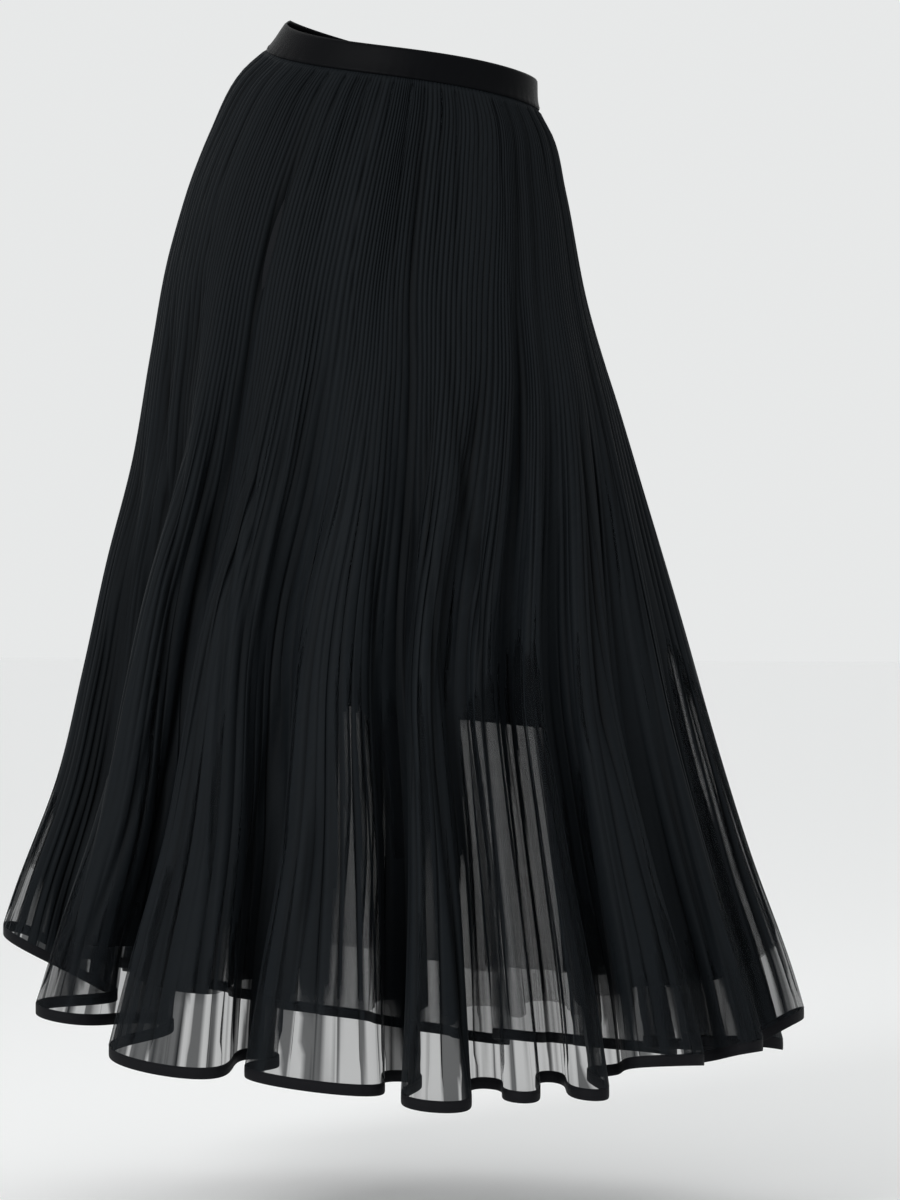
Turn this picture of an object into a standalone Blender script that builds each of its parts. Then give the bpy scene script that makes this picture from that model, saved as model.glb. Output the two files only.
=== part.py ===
"""A black sheer pleated maxi skirt in its worn form, made of the pieces that are cut and sewn.

A satin waistband carries an outer pleated layer and an inner sheer layer, each in a back and a front
panel, and a knee-length lining in two panels. A tape binds the outer layer's hem. Metres, +Z up. The
front faces -Y and the wearer's left is +X. The origin is the middle of the waist opening, at the
band's top.
"""

from collections import namedtuple
import math

import bpy
import numpy as np

SEAM_GAP = 0.0003

BAND_DROP = 0.032
BAND_WALL = 0.0024

OUTER_HEM_DROP = 0.8965
TAPE_HEIGHT = 0.0095
INNER_HEM_DROP = 0.836
SIDE_RISE = 0.05
VALLEY_RISE = 0.014

OUTER_WALL = 0.0024
PLEAT_RELIEF = 0.0010
PLEATS_IN_A_PANEL = 80
EVEN_AT_HEM = 0.6
INNER_WALL = 0.0010
INNER_GAP_AT_HEM = 0.0030
TAPE_WALL = 0.0027
LINING_WALL = 0.0012

FOLD_START_DROP = 0.13
FOLD_GROWTH = 1.5
FAN_START_DROP = 0.05
FAN_LENGTH = 0.54

OUTER_ROWS = (0.0, 0.085, 0.215, 0.375, 0.56, 0.775, 1.0)
LINING_ROWS = (0.0, 0.13, 0.32, 0.62, 1.0)
LINING_COLUMNS = 20
BAND_COLUMNS = 60

# Level sections of the skirt's outside. width is half the width and back and front are the reaches
# from the middle; shift moves the section to the wearer's left, roll lifts that side and pitch
# lowers the back, both as slopes.
Section = namedtuple("Section", "drop width back front shift roll pitch")
SKIRT = (
    Section(0.000, 0.1138, 0.090, 0.090, 0.0000, 0.205, 0.105),
    Section(0.023, 0.1219, 0.094, 0.093, 0.0068, 0.200, 0.100),
    Section(0.050, 0.1422, 0.105, 0.098, 0.0132, 0.190, 0.090),
    Section(0.100, 0.1624, 0.122, 0.104, 0.0220, 0.175, 0.070),
    Section(0.200, 0.1900, 0.138, 0.115, 0.0297, 0.155, 0.040),
    Section(0.300, 0.2157, 0.145, 0.127, 0.0242, 0.135, 0.020),
    Section(0.400, 0.2396, 0.154, 0.140, 0.0174, 0.123, 0.010),
    Section(0.500, 0.2672, 0.169, 0.156, 0.0147, 0.115, 0.000),
    Section(0.600, 0.2923, 0.188, 0.176, 0.0105, 0.110, 0.000),
    Section(0.700, 0.3195, 0.209, 0.198, 0.0057, 0.103, 0.000),
    Section(0.816, 0.3611, 0.235, 0.225, 0.0052, 0.092, 0.000),
    Section(0.906, 0.3874, 0.255, 0.243, 0.0052, 0.090, 0.000),
)

# The same for the lining's outside, below the seam where it hangs close inside the other layers.
LINING = (
    Section(0.050, 0.1330, 0.097, 0.090, 0.0132, 0.190, 0.090),
    Section(0.100, 0.1540, 0.113, 0.096, 0.0220, 0.175, 0.070),
    Section(0.200, 0.1810, 0.128, 0.106, 0.0290, 0.155, 0.040),
    Section(0.300, 0.1970, 0.127, 0.108, 0.0190, 0.135, 0.020),
    Section(0.400, 0.2070, 0.121, 0.107, 0.0060, 0.123, 0.010),
    Section(0.500, 0.2130, 0.119, 0.106, -0.0050, 0.112, 0.000),
    Section(0.580, 0.2155, 0.120, 0.107, -0.0129, 0.108, 0.000),
)

# The hem's folds in order round the skirt, from the wearer's left side past the back. top and hem are
# the fold's width in degrees at the waist and at the hem. crest is how far it stands out, valley how
# far the furrow before it goes in, head and pinch how much its head is widened and its neck drawn in,
# lean how far the crest leans on, and rise how far its edge is lifted.
Fold = namedtuple("Fold", "top hem crest valley head pinch lean rise")
FIRST_TOP_ANGLE = -28.0
FIRST_HEM_ANGLE = -12.0
FOLDS = (
    Fold(78.0, 49.5, 0.000, 0.055, 0.0, 0.30, 0.000, 0.040),
    Fold(22.0, 17.0, 0.012, 0.085, 0.5, 0.75, -0.004, 0.010),
    Fold(26.0, 21.0, 0.006, 0.090, 1.1, 0.80, 0.000, -0.002),
    Fold(15.0, 23.0, -0.006, 0.085, 0.9, 0.70, 0.000, 0.010),
    Fold(26.0, 12.0, 0.006, 0.085, 0.7, 0.80, -0.004, 0.004),
    Fold(8.0, 10.0, -0.006, 0.060, 0.2, 0.50, 0.000, 0.010),
    Fold(9.0, 8.5, 0.000, 0.080, 0.5, 0.80, 0.003, 0.010),
    Fold(16.0, 20.0, -0.012, 0.080, 0.6, 0.60, 0.000, 0.028),
    Fold(8.0, 17.0, -0.012, 0.060, 0.0, 0.40, 0.000, 0.026),
    Fold(26.0, 38.0, -0.014, 0.055, 0.0, 0.30, 0.000, 0.040),
    Fold(15.0, 17.0, 0.000, 0.060, 0.0, 0.60, 0.003, 0.008),
    Fold(11.0, 13.0, -0.006, 0.080, 0.2, 0.70, 0.000, 0.004),
    Fold(10.0, 11.0, 0.002, 0.070, 0.2, 0.50, -0.004, 0.002),
    Fold(14.0, 16.0, -0.004, 0.085, 0.0, 0.60, 0.004, 0.006),
    Fold(12.0, 14.0, 0.000, 0.065, 0.2, 0.70, 0.000, 0.000),
    Fold(11.0, 12.0, -0.008, 0.080, 0.2, 0.50, -0.003, 0.004),
    Fold(16.0, 18.0, 0.000, 0.070, 0.0, 0.60, 0.005, 0.002),
    Fold(11.0, 13.0, -0.006, 0.085, 0.2, 0.70, 0.000, 0.006),
    Fold(13.0, 15.0, 0.002, 0.065, 0.0, 0.50, -0.004, 0.006),
    Fold(13.0, 15.0, -0.004, 0.080, 0.0, 0.60, 0.003, 0.012),
)

# Each material's colour and roughness.
CLOTHS = {
    "satin": ((0.014, 0.014, 0.017), 0.38),
    "sheer_mesh": ((0.010, 0.010, 0.013), 0.60),
    "inner_sheer": ((0.010, 0.010, 0.013), 0.60),
    "hem_tape": ((0.008, 0.008, 0.010), 0.50),
    "lining_cloth": ((0.006, 0.006, 0.008), 0.70),
}


def at_drop(rows, drop):
    """A table's columns after its first one, each on a smooth curve through the rows, at the drops given."""
    grid = np.array(rows)
    drops, values = grid[:, 0], grid[:, 1:]
    slopes = np.gradient(values, drops, axis=0)
    row = np.clip(np.searchsorted(drops, drop, side="right") - 1, 0, len(drops) - 2)
    length = (drops[row + 1] - drops[row])[..., None]
    f = (drop[..., None] - drops[row][..., None]) / length
    start, end = values[row], values[row + 1]
    curve = start * (1 + 2 * f) * (1 - f) ** 2 + end * (3 - 2 * f) * f**2
    bend = slopes[row] * f * (1 - f) ** 2 - slopes[row + 1] * (1 - f) * f**2
    return np.moveaxis(curve + bend * length, -1, 0)


def eased(x):
    x = np.clip(x, 0.0, 1.0)
    return x * x * (3 - 2 * x)


def edge_angles(column, first):
    """The angles of the folds' borders round the skirt, in degrees, from the spans in one column."""
    return first + np.concatenate([[0.0], np.cumsum([getattr(fold, column) for fold in FOLDS])])


def fold_place(waist_angle):
    """Where an angle at the waist lies among the folds, as the fold's number and the share of its width."""
    borders = edge_angles("top", FIRST_TOP_ANGLE)
    turned = (waist_angle - borders[0]) % 360.0 + borders[0]
    return np.interp(turned, borders, np.arange(len(borders)))


def fold_values(place):
    """The table of folds read at places among them, with each point's phase, 0 on the crest."""
    number = np.floor(place).astype(int)
    phase = (place - number - 0.5) * 2 * np.pi
    rows = np.array(FOLDS)
    here, after = rows[number % len(FOLDS)], rows[(number + 1) % len(FOLDS)]
    fold = Fold(*np.moveaxis(here, -1, 0))
    valley = np.where(phase < 0, fold.valley, after[..., Fold._fields.index("valley")])
    return fold, valley, phase


def on_ellipse(section, angle):
    """A level section's point, outward normal and speed of travel at an angle."""
    x, y = np.cos(angle), np.sin(angle)
    depth = np.where(y > 0, section.back, section.front)
    point = np.stack([section.shift + section.width * x, depth * y], axis=-1)
    normal = np.stack([x / section.width, y / depth], axis=-1)
    normal /= np.linalg.norm(normal, axis=-1, keepdims=True)
    speed = np.hypot(section.width * y, depth * x)
    return point, normal, speed


def skirt_points(waist_angle, down, hem_drop):
    """Points of the skirt's outside, at angles at the waist in degrees and shares of the way down."""
    waist_angle, down = np.broadcast_arrays(waist_angle, down)
    fold, valley, phase = fold_values(fold_place(waist_angle))
    first = edge_angles("hem", FIRST_HEM_ANGLE)
    turns = np.floor((waist_angle - FIRST_TOP_ANGLE) / 360.0) * 360.0
    hem_angle = np.interp(fold_place(waist_angle), np.arange(len(first)), first) + turns

    rise = SIDE_RISE * np.cos(np.radians(hem_angle)) ** 2
    drop = BAND_DROP + down * (hem_drop - rise - BAND_DROP)
    fan = eased((drop - FAN_START_DROP) / FAN_LENGTH)
    angle = np.radians(waist_angle + fan * (hem_angle - waist_angle))
    span = OUTER_HEM_DROP - SIDE_RISE / 2 - FOLD_START_DROP
    grown = np.clip((drop - FOLD_START_DROP) / span, 0.0, None) ** FOLD_GROWTH

    section = Section(drop, *at_drop(SKIRT, drop))
    point, normal, speed = on_ellipse(section, angle)
    along = np.stack([-normal[..., 1], normal[..., 0]], axis=-1)
    near_crest = (1 + np.cos(phase)) / 2
    out = grown * (fold.crest * near_crest - valley * (1 - near_crest))
    widening = fold.head * np.sin(phase) + fold.pinch * np.sin(2 * phase)
    side = grown * (np.radians(fold.hem) / (2 * np.pi) * speed * widening + fold.lean * near_crest)
    point = point + normal * out[..., None] + along * side[..., None]
    z = -drop + section.roll * point[..., 0] - section.pitch * point[..., 1]
    z = z + grown * (fold.rise * near_crest + VALLEY_RISE * (1 - near_crest))
    return np.concatenate([point, z[..., None]], axis=-1)


def skirt_frame(waist_angle, down, hem_drop=OUTER_HEM_DROP):
    """The skirt's points with the level outward direction and the direction round it at each."""
    small = 0.02
    points = skirt_points(waist_angle, down, hem_drop)
    ahead = skirt_points(waist_angle + small, down, hem_drop)
    behind = skirt_points(waist_angle - small, down, hem_drop)
    along = ahead - behind
    along[..., 2] = 0.0
    along /= np.linalg.norm(along, axis=-1, keepdims=True)
    out = np.stack([along[..., 1], -along[..., 0], np.zeros(along.shape[:-1])], axis=-1)
    return points, out, along


def panel_angles(panel, columns):
    """The angles of a panel's columns at the waist, in degrees: the back panel is the half that faces +Y."""
    start = {"back": 0.0, "front": 180.0}[panel]
    return start + 180.0 * np.arange(columns + 1) / columns


def pleat_angles(panel):
    """The angles of a panel's grooves at the waist, spread between even there and even along the hem."""
    angles = panel_angles(panel, 40 * PLEATS_IN_A_PANEL)
    hem = skirt_points(angles, np.ones(1), OUTER_HEM_DROP)
    run = np.concatenate([[0.0], np.cumsum(np.linalg.norm(np.diff(hem, axis=0), axis=1))])
    share = EVEN_AT_HEM * run / run[-1] + (1 - EVEN_AT_HEM) * np.linspace(0.0, 1.0, len(angles))
    return np.interp(np.linspace(0.0, 1.0, PLEATS_IN_A_PANEL + 1), share, angles)


def inset(points, out, depth):
    return points - out * depth


def part_seams(grids, along):
    """Draws each grid's first and last column back from the side seams by half a gap."""
    for grid in grids:
        grid[:, 0] += along[:, 0] * SEAM_GAP / 2
        grid[:, -1] -= along[:, -1] * SEAM_GAP / 2


def make_object(name, points, faces, cloth):
    mesh = bpy.data.meshes.new(name)
    mesh.from_pydata([tuple(p) for p in points], [], faces)
    mesh.update()
    mesh.shade_smooth()
    mesh.set_sharp_from_angle(angle=math.radians(40))
    mesh.materials.append(material(cloth))
    body = bpy.data.objects.new(name, mesh)
    bpy.context.scene.collection.objects.link(body)
    return body


def material(cloth):
    made = bpy.data.materials.get(cloth)
    if made:
        return made
    colour, roughness = CLOTHS[cloth]
    made = bpy.data.materials.new(cloth)
    made.use_nodes = True
    shader = made.node_tree.nodes["Principled BSDF"]
    shader.inputs["Base Color"].default_value = (*colour, 1.0)
    shader.inputs["Roughness"].default_value = roughness
    shader.inputs["Metallic"].default_value = 0.0
    return made


def sheet_faces(number, closed):
    """Triangles of a grid of point numbers, a row for each level, facing out, all with the same diagonal."""
    right = np.roll(number, -1, axis=1) if closed else number[:, 1:]
    left = number if closed else number[:, :-1]
    a, b, c, d = left[:-1], right[:-1], left[1:], right[1:]
    upper = np.stack([a, d, b], axis=-1).reshape(-1, 3)
    lower = np.stack([a, c, d], axis=-1).reshape(-1, 3)
    return np.concatenate([upper, lower])


def rim_faces(outer, inner, closed):
    """Triangles between two runs of point numbers, facing up where the runs go round from the left."""
    if closed:
        outer, inner = np.append(outer, outer[0]), np.append(inner, inner[0])
    first = np.stack([outer[:-1], outer[1:], inner[1:]], axis=-1)
    second = np.stack([outer[:-1], inner[1:], inner[:-1]], axis=-1)
    return np.concatenate([first, second])


def wall(name, outer, inner, cloth, closed=False):
    """A closed wall between two grids of points with the same rows and columns."""
    count = outer.shape[0] * outer.shape[1]
    face_out = np.arange(count).reshape(outer.shape[:2])
    face_in = face_out + count
    faces = [
        sheet_faces(face_out, closed),
        sheet_faces(face_in, closed)[:, ::-1],
        rim_faces(face_out[0], face_in[0], closed),
        rim_faces(face_out[-1], face_in[-1], closed)[:, ::-1],
    ]
    if not closed:
        faces.append(rim_faces(face_out[:, 0], face_in[:, 0], False)[:, ::-1])
        faces.append(rim_faces(face_out[:, -1], face_in[:, -1], False))
    points = np.concatenate([outer.reshape(-1, 3), inner.reshape(-1, 3)])
    return make_object(name, points, np.concatenate(faces).tolist(), cloth)


def doubled(points):
    """Twice the columns, the new ones halfway between the old."""
    rows, columns = points.shape[:2]
    fine = np.empty((rows, 2 * columns - 1, 3))
    fine[:, 0::2] = points
    fine[:, 1::2] = (points[:, :-1] + points[:, 1:]) / 2
    return fine


def make_outer(panel):
    """The outer layer's panel: pleats raised in its outside, with sunk grooves, over a plain inside."""
    angles = pleat_angles(panel)[None, :]
    points, out, along = skirt_frame(angles, np.array(OUTER_ROWS)[:, None])
    inside = inset(points, out, OUTER_WALL)
    part_seams([points, inside], along)
    pleats = doubled(points)
    pleats[:, 0::2] = inset(points, out, PLEAT_RELIEF)
    wall(f"outer_{panel}", pleats, doubled(inside), "sheer_mesh")


def make_tape(panel):
    """The tape that binds the outer panel's hem, on from its edge."""
    points, out, along = skirt_frame(pleat_angles(panel)[None, :], np.array([[1.0]]))
    outside = inset(points, out, -(TAPE_WALL - OUTER_WALL) / 2)
    inside = inset(outside, out, TAPE_WALL)
    part_seams([outside, inside], along)
    edges = np.array([-SEAM_GAP, -TAPE_HEIGHT])[:, None, None] * np.array([0.0, 0.0, 1.0])
    wall(f"hem_tape_{panel}", outside + edges, inside + edges, "hem_tape")


def make_inner(panel):
    """The inner sheer layer's panel, which follows the outer one's folds close inside it."""
    angles = pleat_angles(panel)[None, :]
    down = np.array(OUTER_ROWS)[:, None]
    points, out, along = skirt_frame(angles, down)
    gap = SEAM_GAP + (INNER_GAP_AT_HEM - SEAM_GAP) * eased(2 * down)[..., None]
    outside = inset(points, out, OUTER_WALL + gap)
    inside = inset(outside, out, INNER_WALL)
    share = (INNER_HEM_DROP - BAND_DROP) / (OUTER_HEM_DROP - BAND_DROP)
    last = (share - OUTER_ROWS[-2]) / (OUTER_ROWS[-1] - OUTER_ROWS[-2])
    part_seams([outside, inside], along)
    for grid in (outside, inside):
        grid[-1] = grid[-2] + (grid[-1] - grid[-2]) * last
    wall(f"inner_{panel}", outside, inside, "inner_sheer")


def ellipse_grid(rows, drops, angles):
    """Level sections of a table at the drops given, as a grid of points with their outward directions."""
    drop, angle = np.broadcast_arrays(np.asarray(drops)[:, None], np.radians(angles)[None, :])
    section = Section(drop, *at_drop(rows, drop))
    point, normal, _ = on_ellipse(section, angle)
    z = -drop + section.roll * point[..., 0] - section.pitch * point[..., 1]
    flat = np.zeros(drop.shape)
    points = np.concatenate([point, z[..., None]], axis=-1)
    return points, np.concatenate([normal, flat[..., None]], axis=-1)


def lining_rows():
    """The lining's sections with a first one at the band, close inside the two sheer layers."""
    top = at_drop(SKIRT, np.array([BAND_DROP]))[:, 0]
    taken = OUTER_WALL + INNER_WALL + 2 * SEAM_GAP
    width, back, front, *rest = top
    return (Section(BAND_DROP, width - taken, back - taken, front - taken, *rest), *LINING)


def make_lining(panel):
    drops = BAND_DROP + np.array(LINING_ROWS) * (LINING[-1].drop - BAND_DROP)
    points, out = ellipse_grid(lining_rows(), drops, panel_angles(panel, LINING_COLUMNS))
    along = np.stack([-out[..., 1], out[..., 0], out[..., 2]], axis=-1)
    inside = inset(points, out, LINING_WALL)
    part_seams([points, inside], along)
    wall(f"lining_{panel}", points, inside, "lining_cloth")


def make_waistband():
    drops = np.array([0.0, BAND_DROP - SEAM_GAP])
    angles = 360.0 * np.arange(BAND_COLUMNS) / BAND_COLUMNS
    points, out = ellipse_grid(SKIRT, drops, angles)
    wall("waistband", points, inset(points, out, BAND_WALL), "satin", closed=True)


for old in list(bpy.data.objects):
    bpy.data.objects.remove(old)

make_waistband()
for side in ("back", "front"):
    make_outer(side)
    make_tape(side)
    make_inner(side)
    make_lining(side)
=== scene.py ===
"""The look of a black sheer pleated maxi skirt in its worn form, seen from behind.

The two outer panels are single sheets with their pleats and creases, the inner sheer panels hang close
inside them, and the lining panels, waistband and hem tapes have their own thickness. Metres, in the
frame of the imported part: +Z up, the front faces -Y and the wearer's left is +X. A drop is a depth below
the band's top, and a share of the way down runs from 0 at the band's lower edge to 1 at the outer hem.
Angles are in degrees in the tables and run from the wearer's left side past the back.
"""

import math
from collections import namedtuple

import bpy
import numpy as np
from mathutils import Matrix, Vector


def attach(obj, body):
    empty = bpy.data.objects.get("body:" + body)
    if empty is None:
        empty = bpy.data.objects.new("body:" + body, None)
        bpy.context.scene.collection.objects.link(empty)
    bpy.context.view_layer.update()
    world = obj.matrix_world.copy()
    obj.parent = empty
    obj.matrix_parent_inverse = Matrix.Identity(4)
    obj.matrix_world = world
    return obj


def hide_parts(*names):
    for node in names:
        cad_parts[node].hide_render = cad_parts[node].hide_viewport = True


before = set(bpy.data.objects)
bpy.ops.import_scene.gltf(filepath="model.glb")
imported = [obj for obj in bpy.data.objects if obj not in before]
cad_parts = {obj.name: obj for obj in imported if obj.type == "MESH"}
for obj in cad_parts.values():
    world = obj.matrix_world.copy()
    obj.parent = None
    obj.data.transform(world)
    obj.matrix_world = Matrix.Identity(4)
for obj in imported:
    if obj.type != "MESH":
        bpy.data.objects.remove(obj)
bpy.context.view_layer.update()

# The waistband's lower edge, where the gathered cloth begins.
BAND_DROP = 0.0275

# Sizes that the solids have too: the hems' drops, how far the outer hem rises at the sides and in its
# furrows, how evenly the pleats lie along the hem, and where the folds grow and fan out.
OUTER_HEM_DROP = 0.8965
INNER_HEM_DROP = 0.836
SIDE_RISE = 0.05
VALLEY_RISE = 0.014
EVEN_AT_HEM = 0.6
FOLD_START_DROP = 0.13
FOLD_GROWTH = 1.5
FAN_START_DROP = 0.05
FAN_LENGTH = 0.54

# Level sections of the skirt's outside. width is half the width and back and front are the reaches
# from the middle; shift moves the section to the wearer's left, roll lifts that side and pitch
# lowers the back, both as slopes.
Section = namedtuple("Section", "drop width back front shift roll pitch")
SKIRT = (
    Section(0.000, 0.1138, 0.090, 0.090, 0.0000, 0.205, 0.105),
    Section(0.023, 0.1219, 0.094, 0.093, 0.0068, 0.200, 0.100),
    Section(0.050, 0.1422, 0.105, 0.098, 0.0132, 0.190, 0.090),
    Section(0.100, 0.1624, 0.122, 0.104, 0.0220, 0.175, 0.070),
    Section(0.200, 0.1900, 0.138, 0.115, 0.0297, 0.155, 0.040),
    Section(0.300, 0.2157, 0.145, 0.127, 0.0242, 0.135, 0.020),
    Section(0.400, 0.2396, 0.154, 0.140, 0.0174, 0.123, 0.010),
    Section(0.500, 0.2672, 0.169, 0.156, 0.0147, 0.115, 0.000),
    Section(0.600, 0.2923, 0.188, 0.176, 0.0105, 0.110, 0.000),
    Section(0.700, 0.3195, 0.209, 0.198, 0.0057, 0.103, 0.000),
    Section(0.816, 0.3611, 0.235, 0.225, 0.0052, 0.092, 0.000),
    Section(0.906, 0.3874, 0.255, 0.243, 0.0052, 0.090, 0.000),
)

# The same for the lining's outside, which hangs close inside the other layers.
LINING = (
    Section(0.050, 0.1330, 0.097, 0.090, 0.0132, 0.190, 0.090),
    Section(0.100, 0.1540, 0.113, 0.096, 0.0220, 0.175, 0.070),
    Section(0.200, 0.1810, 0.128, 0.106, 0.0290, 0.155, 0.040),
    Section(0.300, 0.1970, 0.127, 0.108, 0.0190, 0.135, 0.020),
    Section(0.400, 0.2070, 0.121, 0.107, 0.0060, 0.123, 0.010),
    Section(0.500, 0.2130, 0.119, 0.106, -0.0050, 0.112, 0.000),
    Section(0.580, 0.2155, 0.120, 0.107, -0.0129, 0.108, 0.000),
)

# The hem's folds in order round the skirt, from the wearer's left side past the back. top and hem are
# the fold's width in degrees at the waist and at the hem. crest is how far it stands out, valley how
# far the furrow before it goes in, head and pinch how much its head is widened and its neck drawn in,
# lean how far the crest leans on, and rise how far its edge is lifted.
Fold = namedtuple("Fold", "top hem crest valley head pinch lean rise")
FIRST_TOP_ANGLE = -28.0
FIRST_HEM_ANGLE = -12.0
FOLDS = (
    Fold(78.0, 49.5, 0.000, 0.055, 0.0, 0.30, 0.000, 0.040),
    Fold(22.0, 17.0, 0.012, 0.085, 0.5, 0.75, -0.004, 0.010),
    Fold(26.0, 21.0, 0.006, 0.090, 1.1, 0.80, 0.000, -0.002),
    Fold(15.0, 23.0, -0.006, 0.085, 0.9, 0.70, 0.000, 0.010),
    Fold(26.0, 12.0, 0.006, 0.085, 0.7, 0.80, -0.004, 0.004),
    Fold(8.0, 10.0, -0.006, 0.060, 0.2, 0.50, 0.000, 0.010),
    Fold(9.0, 8.5, 0.000, 0.080, 0.5, 0.80, 0.003, 0.010),
    Fold(16.0, 20.0, -0.012, 0.080, 0.6, 0.60, 0.000, 0.028),
    Fold(8.0, 17.0, -0.012, 0.060, 0.0, 0.40, 0.000, 0.026),
    Fold(26.0, 38.0, -0.014, 0.055, 0.0, 0.30, 0.000, 0.040),
    Fold(15.0, 17.0, 0.000, 0.060, 0.0, 0.60, 0.003, 0.008),
    Fold(11.0, 13.0, -0.006, 0.080, 0.2, 0.70, 0.000, 0.004),
    Fold(10.0, 11.0, 0.002, 0.070, 0.2, 0.50, -0.004, 0.002),
    Fold(14.0, 16.0, -0.004, 0.085, 0.0, 0.60, 0.004, 0.006),
    Fold(12.0, 14.0, 0.000, 0.065, 0.2, 0.70, 0.000, 0.000),
    Fold(11.0, 12.0, -0.008, 0.080, 0.2, 0.50, -0.003, 0.004),
    Fold(16.0, 18.0, 0.000, 0.070, 0.0, 0.60, 0.005, 0.002),
    Fold(11.0, 13.0, -0.006, 0.085, 0.2, 0.70, 0.000, 0.006),
    Fold(13.0, 15.0, 0.002, 0.065, 0.0, 0.50, -0.004, 0.006),
    Fold(13.0, 15.0, -0.004, 0.080, 0.0, 0.60, 0.003, 0.012),
)

# How the worn waist leaves its level section: a rise all round, a slope up to the wearer's left, a wave
# over the back and a dip at the front. All fade out below LIFT_DROP.
WAIST_RISE = 0.0045
LEFT_SLOPE = 0.055
BACK_WAVE = 0.006
FRONT_DIP = 0.011
LIFT_DROP = 0.03
LIFT_FADE = 0.10

# Where the panels start round the skirt, and how far the uv of a shell's inside is moved from its
# outside's, in metres of cloth.
PANEL_START = {"back": 0.0, "front": 180.0}
INSIDE_UV_SHIFT = 2.0

# Each piece with uneven forms draws them from a seed of its own, numbered in this order.
FIRST_SEED = 7
SEEDED = (
    "outer_back",
    "outer_front",
    "inner_back",
    "inner_front",
    "lining_back",
    "lining_front",
    "waistband",
)

# The outer sheets' grid. Columns lie at these shares of a pleat, close together beside its groove. Rows
# lie close together at the waist seam. STEPS_IN_A_PLEAT is how finely the hem is measured for them.
PLEATS = 122
PLEAT_SHARES = (0.0, 0.05, 0.13, 0.28, 0.50, 0.72, 0.87, 0.95)
STEPS_IN_A_PLEAT = 40
OUTER_ROWS = 93
ROW_CROWDING = 1.08
SEAM_ROWS = (0.0, 0.0014, 0.0036)

# How deep the outer sheets lie inside the skirt's outside, how far both sheer layers reach up behind the
# band, and how deep and how far down their cloth turns in under it.
OUTER_DEPTH = 0.0005
TUCKED_IN = 0.003
TURN_IN_DEPTH = 0.0022
TURN_IN_REACH = 0.0022

# Even ribs below the band. They are lower at the seam, vary in patches, and loosen down the skirt.
RIB_RELIEF = 0.0015
RIB_SHARPNESS = 1.2
RIB_MEAN = 0.85
RIB_UNEVEN = 0.3
RIB_AT_SEAM = 0.4
RIB_SEAM_REACH = 0.012
LOOSENING_START = 0.27
LOOSENING_LENGTH = 0.26
LOOSENING_UNEVEN = 0.12

# The single crease that each groove becomes where the ribs are loose: its depth, half width and how far
# it leans aside for its depth.
CREASE_DEPTH = 0.0013
CREASE_UNEVEN = 0.0018
LEAST_CREASE = 0.0001
CREASE_WIDTH = 0.0011
CREASE_WIDTH_RANGE = (0.6, 1.6)
CREASE_LEAN = 1.7

# The side seams, between the back and the front panel.
SEAM_DEPTH = 0.0016
SEAM_WIDTH = 0.0018

# Gathers that fan out from the waist seam: ranges of their spacing, as shares of the panel's width, of
# their depth and half width, and of how far down they reach. They begin over GATHER_START.
GATHER_SPACING = (0.018, 0.050)
GATHER_DEPTH = (0.0015, 0.0045)
GATHER_WIDTH = (0.0016, 0.0036)
GATHER_REACH = (0.05, 0.22)
GATHER_START = 0.01

# Soft furrows between the main creases: ranges of their spacing, as shares of the mean one, of where
# they start on the way down, of their depth and half width, and of how far and fast they sway. Thin
# places have them shallower. The spreads are the mean spacings, as shares of a panel's width.
FURROW_SPACING = (0.5, 1.5)
FURROW_START = (0.10, 0.5)
FURROW_DEPTH = (0.0010, 0.0030)
FURROW_WIDTH = (0.003, 0.008)
FURROW_SWAY = (-0.008, 0.008)
FURROW_SWAY_RATE = (2.0, 5.0)
FURROW_GROWTH = 0.3
FURROW_OPENED = 0.5
OUTER_FURROW_SPREAD = 0.03
INNER_FURROW_SPREAD = 0.025
LINING_FURROW_SPREAD = 0.05

# How much a form is calmed near the hem: by what share, from where on the way down, and over what length.
Calm = namedtuple("Calm", "share start length")
CREASE_CALM = Calm(0.80, 0.972, 0.02)
FURROW_CALM = Calm(0.60, 0.920, 0.06)
LAYER_CALM = Calm(0.38, 0.900, 0.04)

# How many layers of the sheer cloth lie on each other: from the width of cloth in a pleat, with more in
# creases, furrows and seams, and uneven from pleat to pleat and in patches. Some pleats lie turned over.
CLOTH_IN_A_PLEAT = 0.0400
MOST_LAYERS = 4.5
LAYERS_UNEVEN = 0.9
LAYERS_PATCHY = 0.8
CREASE_LAYERS = 1.2
FURROW_LAYERS = 100.0
SEAM_LAYERS = 2.0
DRAWN_OPEN = (0.62, 1.0)
TURNED_SHARE = 0.35
FOLD_EDGE = 0.08
LEAST_CRINKLE = 0.2
CRINKLE_LAYERS = 1.1

# The share of light that passes one layer of the sheer cloth. It fades to none from FADING_LAYERS to
# OPAQUE_LAYERS.
OPEN_SHARE = 0.53
FADING_LAYERS = 1.5
OPAQUE_LAYERS = 3.0

# How much painted shade each form puts into the outer cloth's colour, for each metre of depth.
RIB_SHADE = 0.8 / RIB_RELIEF
CREASE_SHADE = 250.0
GATHER_SHADE = 160.0
FURROW_SHADE = 80.0
SEAM_SHADE = 500.0

# How much painted shade the cloth held in the main creases and the crinkle lines put into its colour.
HELD_SHADE = 0.3
CRINKLE_SHADE = 0.6

# The inner sheets lie deeper than the outer ones and gain depth down to DEPTH_GAIN_END. They follow
# the main creases in part, have furrows of their own, and lie open where the outer ones do.
INNER_COLUMNS = 640
INNER_ROWS = 64
INNER_DEPTH = 0.0034
DEPTH_GAIN = 0.0035
DEPTH_GAIN_END = 0.625
INNER_IN_CREASES = 0.7
INNER_FURROWS = 0.8
INNER_LAYERS = 1.7
INNER_UNEVEN = 1.4
INNER_FURROW_LAYERS = 200.0
INNER_OPENED = 0.96

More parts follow.
